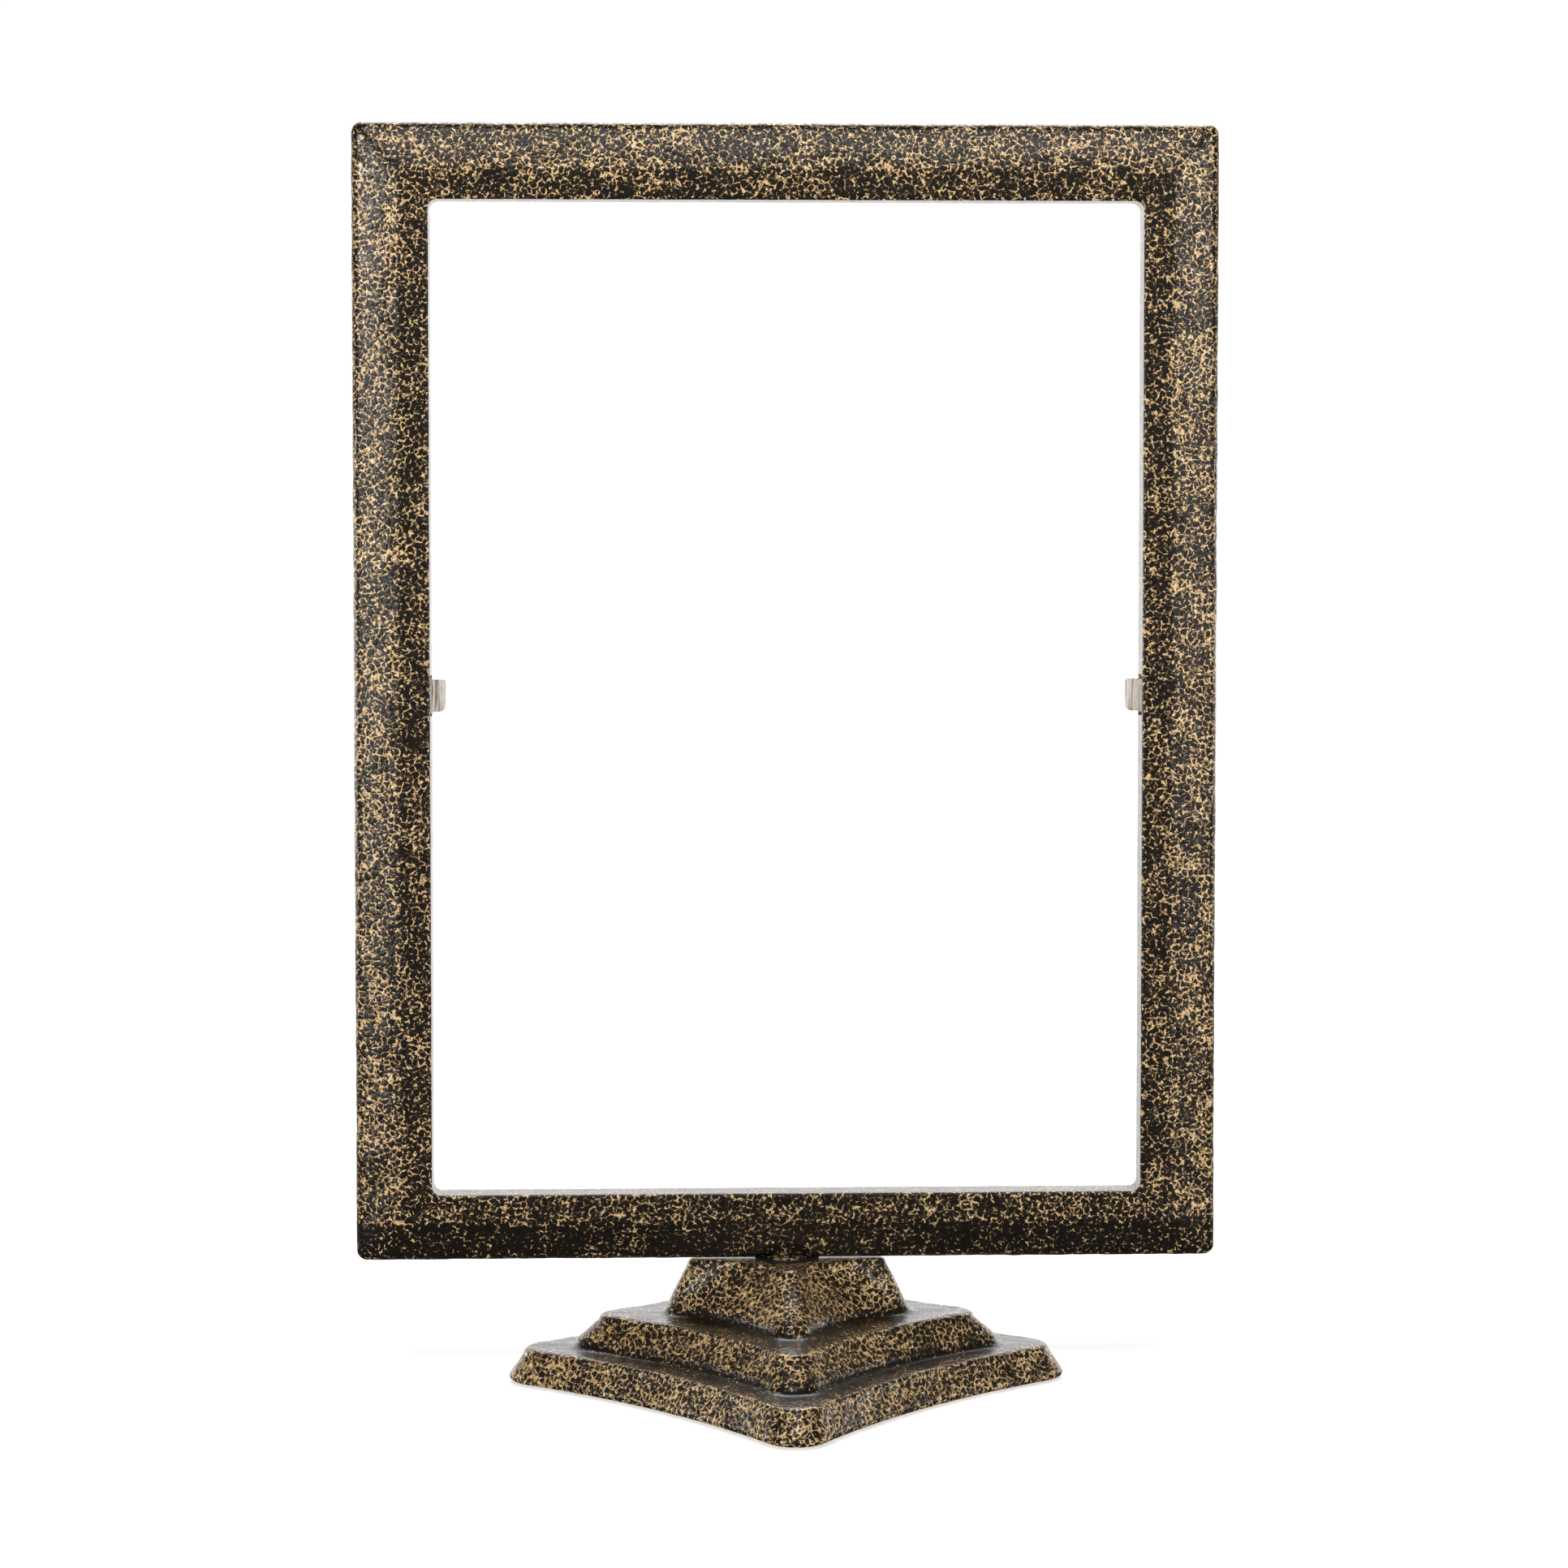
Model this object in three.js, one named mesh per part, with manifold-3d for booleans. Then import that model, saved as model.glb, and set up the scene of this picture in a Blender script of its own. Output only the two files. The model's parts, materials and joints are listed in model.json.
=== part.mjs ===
// Tabletop floating frame: a thin cast picture frame, open right through, on a stepped pedestal.
// Millimetres, +Z up, front towards -Y. The origin is under the middle of the pedestal, on the table.
import * as THREE from 'three';
import { mergeVertices } from 'three/addons/utils/BufferGeometryUtils.js';
import Module from 'manifold-3d';

const wasm = await Module();
wasm.setup();

// The upright frame: one flat ring with a flat inner land and a crowned outer band on both faces.
const OPENING = { width: 128, height: 178.6, sill: 34.7, cornerRadius: 1.5 };
const RAIL = { side: 13.8, top: 13.9, bottom: 12.1 };
const FRAME_DEPTH = 6;
const LAND_WIDTH = 5.2;
const LAND_CORNER_RADIUS = 0.6;
const OUTER_CORNER_RADIUS = 1.9;
const INNER_EDGE_BREAK = 0.4;
const CROWN = { drop: 1.3, startShare: 0.7, steps: 4 };
const OUTER_EDGE = { radius: 1.7, steps: 4 };
const FRAME_BOTTOM = OPENING.sill - RAIL.bottom;

// The pivot boss under the bottom rail, and the screw that ends in it.
const BOSS = { radius: 3.2, bottom: 17.6, top: FRAME_BOTTOM + 0.3 };
const SCREW = {
  radius: 1.5,
  tip: 23.2,
  tipChamfer: 0.4,
  headRadius: 2.75,
  headHeight: 3,
  headChamfer: 0.3,
  socketAcross: 2.5,
  socketDepth: 1.6,
};
const THREAD_CLEARANCE = 0.05;
const HOLE_END_GAP = 0.3;

// The spring clips at mid-height, one on each inner wall. Reaches are from the wall into the opening.
const CLIP = {
  z: 124.6,
  height: 5.8,
  gap: 3,
  sheet: 0.45,
  bend: 0.25,
  frontReach: 0.64,
  rearReach: 2.05,
  flareRun: 0.45,
  flareRise: 0.225,
  cornerCut: 1.6,
  cornerOutset: 0.15,
};
const CLIP_SLOT = { height: 7.4, width: 4.6, depth: 1 };
const CLIP_SCREW = {
  radius: 0.8,
  length: 5,
  holeRadius: 0.9,
  headRadius: 1.3,
  headHeight: 0.8,
  crownShare: 0.7,
  driverWidth: 0.35,
  driverDepth: 0.35,
};

// The pedestal: three four-pointed tiers. The pads lift its flat underside off the table.
const UNDERSIDE = 0.5;
const TIERS = [
  {
    low: 0.5,
    high: 6.5,
    foot: { x: 50.3, y: 50.3, tip: 6, waist: 0.477 },
    head: { x: 47.4, y: 47.4, tip: 5, waist: 0.477 },
  },
  {
    low: 6.5,
    high: 12.5,
    foot: { x: 38.2, y: 38.2, tip: 5, waist: 0.475 },
    head: { x: 33.7, y: 33.7, tip: 4, waist: 0.475 },
  },
  {
    low: 12.5,
    high: 22.45,
    foot: { x: 22, y: 22.6, tip: 3.6, waist: 0.46 },
    head: { x: 17.8, y: 12, tip: 2.4, waist: 0.4 },
  },
];
const TIER_EDGE = 1;
const TIER_FILLET = 1.6;
const STAR = { tipSteps: 4, sideSteps: 10 };
const SOCKET = { radius: BOSS.radius + 0.05, floor: BOSS.bottom - HOLE_END_GAP };
const SHANK_HOLE_RADIUS = 1.7;
const COUNTERBORE = { radius: 6.5, ceiling: 8.5 };

// Washers and pads.
const FRICTION_WASHER = { inner: 3.4, outer: 5.8, bottom: TIERS[2].high, top: FRAME_BOTTOM - 0.02 };
const WAVE_WASHER = { inner: 1.8, outer: 4.2, thickness: 0.6 };
const FLAT_WASHER = { inner: 1.6, outer: 4.5, thickness: 0.8 };
const PAD = { radius: 4.5, thickness: 1.4, reach: 39.5, clearance: 0.2, sides: 40 };

const COAT = { color: 0x2b2722, roughness: 0.35, metalness: 0.3 };
const NICKEL = { color: 0xcdc3b4, roughness: 0.3, metalness: 1 };
const STEEL = { color: 0xa9abad, roughness: 0.35, metalness: 1 };
const NYLON = { color: 0x17171a, roughness: 0.6, metalness: 0 };
const RUBBER = { color: 0x1d1d1f, roughness: 0.8, metalness: 0 };

const ROUND_SIDES = 48;
const SMALL_SIDES = 24;
const OVERCUT = 1;

function solidOf(geometry) {
  const bare = geometry.clone();
  bare.deleteAttribute('normal');
  bare.deleteAttribute('uv');
  const merged = mergeVertices(bare, 1e-5);
  return new wasm.Manifold(new wasm.Mesh({
    numProp: 3,
    vertProperties: new Float32Array(merged.attributes.position.array),
    triVerts: new Uint32Array(merged.index.array),
  }));
}

function geometryOf(solid) {
  const mesh = solid.getMesh();
  const geometry = new THREE.BufferGeometry();
  geometry.setAttribute('position', new THREE.BufferAttribute(new Float32Array(mesh.vertProperties), 3));
  geometry.setIndex(new THREE.BufferAttribute(new Uint32Array(mesh.triVerts), 1));
  geometry.computeVertexNormals();
  return geometry;
}

function subtractAll(base, cutters) {
  return cutters.reduce((rest, cutter) => rest.subtract(solidOf(cutter)), solidOf(base));
}

// A closed round body about +Z from a list of [radius, z] corners.
function turned(corners, sides = ROUND_SIDES) {
  const points = corners.map(([radius, z]) => new THREE.Vector2(radius, z));
  points.push(points[0].clone());
  return new THREE.LatheGeometry(points, sides).rotateX(Math.PI / 2);
}

function rod(radius, low, high, sides = ROUND_SIDES) {
  return new THREE.CylinderGeometry(radius, radius, high - low, sides)
    .rotateX(Math.PI / 2)
    .translate(0, 0, (low + high) / 2);
}

function washer({ inner, outer }, low, high) {
  return turned([[inner, low], [outer, low], [outer, high], [inner, high]]);
}

// Joins rings of equal length into a skin. A closed stack meets itself again; an open one gets flat ends.
function skin(rings, closedStack) {
  const count = rings[0].length;
  const positions = rings.flat().flatMap((p) => [p.x, p.y, p.z]);
  const index = [];
  const spans = closedStack ? rings.length : rings.length - 1;
  for (let r = 0; r < spans; r += 1) {
    const lower = r * count;
    const upper = ((r + 1) % rings.length) * count;
    for (let i = 0; i < count; i += 1) {
      const next = (i + 1) % count;
      index.push(lower + i, lower + next, upper + next, lower + i, upper + next, upper + i);
    }
  }
  if (!closedStack) {
    const last = (rings.length - 1) * count;
    const bottom = positions.length / 3;
    const top = bottom + 1;
    positions.push(0, 0, rings[0][0].z, 0, 0, rings[rings.length - 1][0].z);
    for (let i = 0; i < count; i += 1) {
      const next = (i + 1) % count;
      index.push(bottom, next, i, top, last + i, last + next);
    }
  }
  const geometry = new THREE.BufferGeometry();
  geometry.setAttribute('position', new THREE.Float32BufferAttribute(positions, 3));
  geometry.setIndex(index);
  return geometry;
}

// One loop round the frame, level with a point of the rail's section.
function frameLoop({ land, crown, depth }) {
  const reach = (rail) => land * LAND_WIDTH + crown * (rail - LAND_WIDTH);
  const halfWidth = OPENING.width / 2 + reach(RAIL.side);
  const low = OPENING.sill - reach(RAIL.bottom);
  const high = OPENING.sill + OPENING.height + reach(RAIL.top);
  const innerRadius = THREE.MathUtils.lerp(OPENING.cornerRadius, LAND_CORNER_RADIUS, land);
  const radius = THREE.MathUtils.lerp(innerRadius, OUTER_CORNER_RADIUS, crown);
  const outline = new THREE.Shape()
    .moveTo(halfWidth, low + radius)
    .lineTo(halfWidth, high - radius)
    .absarc(halfWidth - radius, high - radius, radius, 0, Math.PI / 2)
    .lineTo(-halfWidth + radius, high)
    .absarc(-halfWidth + radius, high - radius, radius, Math.PI / 2, Math.PI)
    .lineTo(-halfWidth, low + radius)
    .absarc(-halfWidth + radius, low + radius, radius, Math.PI, Math.PI * 1.5)
    .lineTo(halfWidth - radius, low)
    .absarc(halfWidth - radius, low + radius, radius, Math.PI * 1.5, Math.PI * 2);
  const points = outline.getPoints(3);
  points.pop();
  return points.map((p) => new THREE.Vector3(p.x, depth, p.y));
}

// Half of the rail's section, from the opening to the outer edge, as depths from the mid plane.
function railSection() {
  const half = FRAME_DEPTH / 2;
  const crownWidth = RAIL.side - LAND_WIDTH;
  const edgeStart = (crownWidth - OUTER_EDGE.radius) / crownWidth;
  const section = [
    { land: 0, crown: 0, depth: half - INNER_EDGE_BREAK },
    { land: INNER_EDGE_BREAK / LAND_WIDTH, crown: 0, depth: half },
  ];
  for (let i = 0; i <= CROWN.steps; i += 1) {
    const s = i / CROWN.steps;
    const fall = CROWN.drop * (CROWN.startShare * s + (1 - CROWN.startShare) * s * s);
    section.push({ land: 1, crown: s * edgeStart, depth: half - fall });
  }
  const edgeDepth = half - CROWN.drop;
  for (let i = 1; i < OUTER_EDGE.steps; i += 1) {
    const turn = (i / OUTER_EDGE.steps) * (Math.PI / 2);
    section.push({
      land: 1,
      crown: THREE.MathUtils.lerp(edgeStart, 1, Math.sin(turn)),
      depth: edgeDepth * Math.cos(turn),
    });
  }
  return section;
}

function frameCasting() {
  const back = railSection();
  const rim = { land: 1, crown: 1, depth: 0 };
  const front = back.map((point) => ({ ...point, depth: -point.depth })).reverse();
  const ring = skin([...back, rim, ...front].map(frameLoop), true);
  const boss = rod(BOSS.radius, BOSS.bottom, BOSS.top);
  const threadTop = SCREW.tip + HOLE_END_GAP;
  const thread = rod(SCREW.radius + THREAD_CLEARANCE, BOSS.bottom - OVERCUT, threadTop, SMALL_SIDES);
  let solid = solidOf(ring).add(solidOf(boss)).subtract(solidOf(thread));
  for (const side of [-1, 1]) {
    const wall = OPENING.width / 2;
    const slot = new THREE.BoxGeometry(CLIP_SLOT.depth + OVERCUT, CLIP_SLOT.width, CLIP_SLOT.height)
      .translate(side * (wall + (CLIP_SLOT.depth - OVERCUT) / 2), 0, CLIP.z);
    const pilot = rod(CLIP_SCREW.radius + THREAD_CLEARANCE, -OVERCUT, CLIP_SCREW.length, SMALL_SIDES)
      .rotateY((side * Math.PI) / 2)
      .translate(side * (wall + CLIP_SLOT.depth), 0, CLIP.z);
    solid = solid.subtract(solidOf(slot)).subtract(solidOf(pilot));
  }
  return geometryOf(solid);
}

// The clip's section, as if bent from one strip: web at x = 0, leaves reaching towards +x.
function clipSection() {
  const { gap, sheet, bend, frontReach, rearReach, flareRun, flareRise } = CLIP;
  const inner = gap / 2;
  const outer = inner + sheet;
  const corner = bend + sheet;
  const front = CLIP_SLOT.depth + frontReach;
  const rear = CLIP_SLOT.depth + rearReach;
  return new THREE.Shape()
    .moveTo(front, -outer)
    .lineTo(front, -inner)
    .lineTo(corner, -inner)
    .absarc(corner, -inner + bend, bend, -Math.PI / 2, -Math.PI, true)
    .lineTo(sheet, inner - bend)
    .absarc(corner, inner - bend, bend, Math.PI, Math.PI / 2, true)
    .lineTo(rear, inner)
    .lineTo(rear + flareRun, inner + flareRise)
    .lineTo(rear + flareRun - sheet / 2, outer + flareRise)
    .lineTo(rear - sheet / 4, outer)
    .lineTo(corner, outer)
    .absarc(corner, outer - corner, corner, Math.PI / 2, Math.PI, false)
    .lineTo(0, -outer + corner)
    .absarc(corner, -outer + corner, corner, Math.PI, Math.PI * 1.5, false);
}

// Mirrors a geometry in x and keeps its faces turned outwards.
function mirroredInX(geometry) {
  const mirrored = geometry.scale(-1, 1, 1);
  const corners = mirrored.index.array;
  for (let i = 0; i < corners.length; i += 3) {
    [corners[i + 1], corners[i + 2]] = [corners[i + 2], corners[i + 1]];
  }
  return mirrored;
}

function clip(side) {
  const wall = OPENING.width / 2 + CLIP_SLOT.depth;
  const strip = new THREE.ExtrudeGeometry(clipSection(), {
    depth: CLIP.height,
    bevelEnabled: false,
    curveSegments: 4,
  }).translate(0, 0, -CLIP.height / 2);
  const hole = rod(CLIP_SCREW.holeRadius, -OVERCUT, CLIP.sheet + OVERCUT, SMALL_SIDES).rotateY(Math.PI / 2);
  // The flared lip's lower corner is cut off at 45 degrees.
  const { cornerCut, cornerOutset } = CLIP;
  const tip = CLIP_SLOT.depth + CLIP.rearReach + CLIP.flareRun;
  const corner = new THREE.BoxGeometry(cornerCut, CLIP.gap, cornerCut)
    .rotateY(Math.PI / 4)
    .translate(tip + cornerOutset, CLIP.gap, -CLIP.height / 2 - cornerOutset);
  const bent = geometryOf(subtractAll(strip, [hole, corner]));
  const facing = side < 0 ? bent : mirroredInX(bent);
  return facing.translate(side * wall, 0, CLIP.z);
}

function clipScrew(side) {
  const { radius, length, headRadius, headHeight, crownShare, driverWidth, driverDepth } = CLIP_SCREW;
  const screw = turned([[0, -length], [radius, -length], [radius, 0], [headRadius, 0],
    [headRadius, headHeight / 2], [headRadius * crownShare, headHeight], [0, headHeight]], SMALL_SIDES);
  const driver = new THREE.BoxGeometry(2 * headRadius + OVERCUT, driverWidth, 2 * driverDepth)
    .translate(0, 0, headHeight);
  const slotted = geometryOf(subtractAll(screw, [driver]));
  const seat = OPENING.width / 2 + CLIP_SLOT.depth - CLIP.sheet;
  return slotted.rotateY((-side * Math.PI) / 2).translate(side * seat, 0, CLIP.z);
}

// A ring of the pedestal: four rounded tips joined by hollow sides that are narrowest at the waist.
function starRing({ x, y, tip, waist }, z) {
  const startTip = new THREE.Vector2(x - tip, 0);
  const endTip = new THREE.Vector2(0, y - tip);
  const narrow = new THREE.Vector2(waist * x, waist * y).subScalar(tip * Math.SQRT1_2);
  const pull = narrow.clone().multiplyScalar(2).sub(startTip.clone().add(endTip).multiplyScalar(0.5));
  const side = new THREE.QuadraticBezierCurve(startTip, pull, endTip);
  const outward = (t) => {
    const tangent = side.getTangent(t);
    return Math.atan2(-tangent.x, tangent.y);
  };
  const quarter = [];
  for (let i = 0; i < STAR.tipSteps; i += 1) {
    const turn = outward(0) * (i / STAR.tipSteps);
    quarter.push(new THREE.Vector2(startTip.x + tip * Math.cos(turn), tip * Math.sin(turn)));
  }
  for (let i = 0; i <= STAR.sideSteps; i += 1) {
    const t = i / STAR.sideSteps;
    const turn = outward(t);
    quarter.push(side.getPoint(t).add(new THREE.Vector2(Math.cos(turn), Math.sin(turn)).multiplyScalar(tip)));
  }
  for (let i = STAR.tipSteps - 1; i > 0; i -= 1) {
    const turn = Math.PI / 2 - (Math.PI / 2 - outward(1)) * (i / STAR.tipSteps);
    quarter.push(new THREE.Vector2(tip * Math.cos(turn), endTip.y + tip * Math.sin(turn)));
  }
  const mirroredX = quarter.slice(1).reverse().map((p) => new THREE.Vector2(-p.x, p.y));
  const half = [...quarter, new THREE.Vector2(0, y), ...mirroredX];
  const otherHalf = half.map((p) => new THREE.Vector2(-p.x, -p.y));
  return [...half, ...otherHalf].map((p) => new THREE.Vector3(p.x, p.y, z));
}

function grown(star, by) {
  return { ...star, x: star.x + by, y: star.y + by, tip: Math.max(star.tip + by, 0.5) };
}

// The levels of one tier: a fillet or a rounded lower edge, the sloping wall and a rounded upper edge.
// Each row is how much the star grows there, and its height.
function tierRings({ low, high, foot, head }, index) {
  const roundedEdge = [[-1, 0], [-0.3, 0.3], [0, 1]].map(([by, up]) => [by * TIER_EDGE, low + up * TIER_EDGE]);
  const fillet = [[1, 0], [0.3, 0.3], [-0.15, 1]].map(([by, up]) => [by * TIER_FILLET, low + up * TIER_FILLET]);
  const lower = index === 0 ? roundedEdge : fillet;
  const upper = [[0.3, 1], [-0.2, 0.3], [-1, 0]].map(([by, down]) => [by * TIER_EDGE, high - down * TIER_EDGE]);
  return [
    ...lower.map(([by, z]) => starRing(grown(foot, by), z)),
    ...upper.map(([by, z]) => starRing(grown(head, by), z)),
  ];
}

function padPlaces() {
  const front = new THREE.Vector2(0, -PAD.reach);
  const centre = new THREE.Vector2();
  return [0, 1, 2, 3].map((quarter) => front.clone().rotateAround(centre, (quarter * Math.PI) / 2));
}

function pedestal() {
  const tiers = skin(TIERS.flatMap(tierRings), false);
  const top = TIERS[2].high + OVERCUT;
  const below = UNDERSIDE - OVERCUT;
  const pockets = padPlaces().map(({ x, y }) => {
    const pocket = rod(PAD.radius + PAD.clearance, below, PAD.thickness, PAD.sides);
    return pocket.translate(x, y, 0);
  });
  return geometryOf(subtractAll(tiers, [
    rod(SOCKET.radius, SOCKET.floor, top),
    rod(SHANK_HOLE_RADIUS, 0, top, SMALL_SIDES),
    rod(COUNTERBORE.radius, below, COUNTERBORE.ceiling),
    ...pockets,
  ]));
}

function pivotScrew() {
  const { radius, tip, tipChamfer, headRadius, headHeight, headChamfer, socketAcross, socketDepth } = SCREW;
  const headTop = COUNTERBORE.ceiling - WAVE_WASHER.thickness - FLAT_WASHER.thickness;
  const headLow = headTop - headHeight;
  const head = [[0, headLow], [headRadius - headChamfer, headLow], [headRadius, headLow + headChamfer],
    [headRadius, headTop]];
  const shank = [[radius, headTop], [radius, tip - tipChamfer], [radius - tipChamfer, tip], [0, tip]];
  const body = turned([...head, ...shank], SMALL_SIDES);
  const socket = rod(socketAcross / Math.sqrt(3), headLow - OVERCUT, headLow + socketDepth, 6);
  return geometryOf(subtractAll(body, [socket]));
}

const group = new THREE.Group();
group.name = 'floating_frame';

function addPiece(name, geometry, finish) {
  const mesh = new THREE.Mesh(geometry, new THREE.MeshStandardMaterial(finish));
  mesh.name = name;
  group.add(mesh);
}

addPiece('frame_casting', frameCasting(), COAT);
for (const [label, side] of [['left', -1], ['right', 1]]) {
  addPiece(`${label}_spring_clip`, clip(side), NICKEL);
  addPiece(`${label}_clip_screw`, clipScrew(side), NICKEL);
}
addPiece('pedestal_casting', pedestal(), COAT);
addPiece('friction_washer', washer(FRICTION_WASHER, FRICTION_WASHER.bottom, FRICTION_WASHER.top), NYLON);
addPiece('pivot_screw', pivotScrew(), STEEL);
const washerSeat = COUNTERBORE.ceiling - WAVE_WASHER.thickness;
addPiece('wave_washer', washer(WAVE_WASHER, washerSeat, COUNTERBORE.ceiling), STEEL);
addPiece('flat_washer', washer(FLAT_WASHER, washerSeat - FLAT_WASHER.thickness, washerSeat), STEEL);
const PAD_NAMES = ['front_foot_pad', 'right_foot_pad', 'back_foot_pad', 'left_foot_pad'];
padPlaces().forEach((place, i) => {
  addPiece(PAD_NAMES[i], rod(PAD.radius, 0, PAD.thickness, PAD.sides).translate(place.x, place.y, 0), RUBBER);
});

export default group;
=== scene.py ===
import json
import math

import bmesh
import bpy
import numpy as np
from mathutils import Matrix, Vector


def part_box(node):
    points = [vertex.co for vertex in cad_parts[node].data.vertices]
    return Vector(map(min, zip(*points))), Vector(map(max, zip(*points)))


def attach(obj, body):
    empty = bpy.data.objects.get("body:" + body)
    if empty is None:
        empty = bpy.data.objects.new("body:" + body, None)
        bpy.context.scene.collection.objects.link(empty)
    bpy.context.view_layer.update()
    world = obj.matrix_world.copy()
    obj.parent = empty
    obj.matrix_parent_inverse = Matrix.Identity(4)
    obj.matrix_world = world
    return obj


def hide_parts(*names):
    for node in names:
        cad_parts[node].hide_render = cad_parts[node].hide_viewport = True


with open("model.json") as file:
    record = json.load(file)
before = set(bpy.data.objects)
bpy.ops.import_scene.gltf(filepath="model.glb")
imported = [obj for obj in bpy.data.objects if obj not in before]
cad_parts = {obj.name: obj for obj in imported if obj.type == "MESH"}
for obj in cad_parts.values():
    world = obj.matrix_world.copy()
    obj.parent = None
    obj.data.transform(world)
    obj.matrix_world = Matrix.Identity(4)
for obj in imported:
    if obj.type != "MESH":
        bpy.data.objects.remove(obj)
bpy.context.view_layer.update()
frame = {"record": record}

# Sizes are in millimetres until a mesh or a light is made. MM turns them into Blender's metres.
MM = 0.001

# The rail's section: a flat land by the opening, then a crowned band with a rounded outer edge.
LAND_WIDTH = 5.2
LAND_CORNER_RADIUS = 0.6
OPENING_CORNER_RADIUS = 1.5
OUTER_CORNER_RADIUS = 1.9
INNER_EDGE_BREAK = 0.4
OPENING = {"width": 128.0, "height": 178.6, "sill": 34.7}
CROWN_DROP = 1.3
CROWN_START_SHARE = 0.7
OUTER_EDGE_RADIUS = 1.7
FRAME_STEPS = {"wall": 8, "break": 3, "land": 9, "crown": 13, "edge": 6}
LOOP_STEPS = {"wide": 250, "high": 350, "corner": 5}

# The pivot boss, and the holes and slots cut in the two castings.
BOSS = {"radius": 3.2, "rise": 0.3}
THREAD_HOLE = {"radius": 1.55, "top": 23.5}
CLIP_SLOT = {"height": 7.4, "width": 4.6, "depth": 1.0}
SOCKET = {"radius": 3.25, "floor": 17.3}
# At the seat of the pivot both castings are smooth out to the first radius, and lumpy from the second.
SEAT_EASE = (17.0, 24.0)
SHANK_HOLE_RADIUS = 1.7
COUNTERBORE = {"radius": 6.5, "ceiling": 8.5}
PAD_POCKET = {"radius": 4.7, "ceiling": 1.4}

# The spring clips, each one bent strip, and their screws.
CLIP = {"gap": 3.0, "sheet": 0.45, "bend": 0.25, "front": 1.64, "rear": 3.05, "flare": 0.45}
CLIP_CORNERS = {"front": 0.35, "rear_top": 0.45, "rear_bottom": 1.1}
CLIP_EDGE_RADIUS = 0.09
THREAD_CLEARANCE = 0.05
CLIP_SCREW = {
    "radius": 0.8, "length": 5.0, "head_radius": 1.3, "head_height": 0.8,
    "slot_width": 0.35, "slot_depth": 0.35,
}
PIVOT_SCREW = {
    "radius": 1.5, "head_radius": 2.75, "head_height": 3.0, "socket_across": 2.5, "socket_depth": 1.6,
}

# The pedestal's three tiers: x and y are the reach of the points, tip is their radius, and waist is how
# hollow the sides are.
TIERS = [
    {
        "low": 0.5, "high": 6.5,
        "foot": {"x": 50.3, "y": 50.3, "tip": 6.0, "waist": 0.477},
        "head": {"x": 47.4, "y": 47.4, "tip": 5.0, "waist": 0.477},
    },
    {
        "low": 6.5, "high": 12.5,
        "foot": {"x": 38.2, "y": 38.2, "tip": 5.0, "waist": 0.475},
        "head": {"x": 33.7, "y": 33.7, "tip": 4.0, "waist": 0.475},
    },
    {
        "low": 12.5, "high": 22.45,
        "foot": {"x": 22.0, "y": 22.6, "tip": 3.6, "waist": 0.46},
        "head": {"x": 17.8, "y": 12.0, "tip": 2.4, "waist": 0.4},
    },
]
TIER_EDGE = 1.0
TIER_FILLET = 1.6
FILLET_TUCK = 0.24
UPPER_EDGE = {"start": 0.3, "run": 1.3}
STAR_STEPS = {"tip": 14, "side": 110}
TIER_STEPS = {"edge": 4, "wall": 10, "terrace": 12, "plateau": 12}

# The hammered coat: how wide its cells are, and the (size, height) of the lumps on the castings.
CELL_SIZE = 1.12
LUMPS = ((5.0, 0.15), (2.2, 0.08))
# How much wider or narrower than usual the gold veins are on each face, in cell widths.
# The narrow veins on the bottom crown and at the tiers' feet are painted shade, and the land's narrower
# veins are partly painted shade.
GILDING_AND_SHADE = {"land": -0.03, "crown": -0.005, "shaded_bottom_crown": -0.075, "tier_wall": 0.01, "shaded_tier_foot": -0.10}

# The painted shade where a terrace meets the next tier's foot fades over the outer part of the terrace by
# this share, and up the wall over this height.
TERRACE_SHADE_FADE = 0.6
FOOT_SHADE_REACH = 2.2


def mesh_object(name, points, faces, smooth_angle=math.radians(40), gilding_and_shade=None):
    """A mesh object from points in millimetres, its faces turned outward.

    The vein widths, one for each point, say how much wider than usual the coat's veins are there;
    on the bottom crown and at the tiers' feet they are painted shade, and on the land partly painted shade.
    """
    mesh = bpy.data.meshes.new(name)
    corners = [list(map(int, face)) for face in faces]
    mesh.from_pydata((np.asarray(points, float) * MM).tolist(), [], corners)
    if gilding_and_shade is not None:
        attribute = mesh.attributes.new("gilding_and_shade", "FLOAT", "POINT")
        attribute.data.foreach_set("value", np.asarray(gilding_and_shade, np.float32))
    tidy = bmesh.new()
    tidy.from_mesh(mesh)
    bmesh.ops.remove_doubles(tidy, verts=tidy.verts, dist=1e-7)
    bmesh.ops.recalc_face_normals(tidy, faces=tidy.faces)
    tidy.to_mesh(mesh)
    tidy.free()
    mesh.shade_smooth()
    if smooth_angle:
        mesh.set_sharp_from_angle(angle=smooth_angle)
    obj = bpy.data.objects.new(name, mesh)
    bpy.context.scene.collection.objects.link(obj)
    return obj


def grid_faces(rows, columns, close_rows):
    """Quads over rows of points; each row is a closed loop."""
    row = np.arange(rows if close_rows else rows - 1)[:, None]
    column = np.arange(columns)[None, :]
    after = (column + 1) % columns
    above = (row + 1) % rows
    here, there = row * columns, above * columns
    corners = [here + column, here + after, there + after, there + column]
    return np.stack(np.broadcast_arrays(*corners), -1).reshape(-1, 4)


def apply_modifiers(obj):
    """Writes what the modifiers make into the object's own mesh."""
    depsgraph = bpy.context.evaluated_depsgraph_get()
    made = bpy.data.meshes.new_from_object(obj.evaluated_get(depsgraph))
    obj.modifiers.clear()
    obj.data = made


def boolean(obj, other, operation):
    """Cuts or joins other with obj, and removes other."""
    step = obj.modifiers.new("cut", "BOOLEAN")
    step.operation = operation
    step.object = other
    step.solver = "MANIFOLD"
    apply_modifiers(obj)
    bpy.data.objects.remove(other)
    return obj


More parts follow.
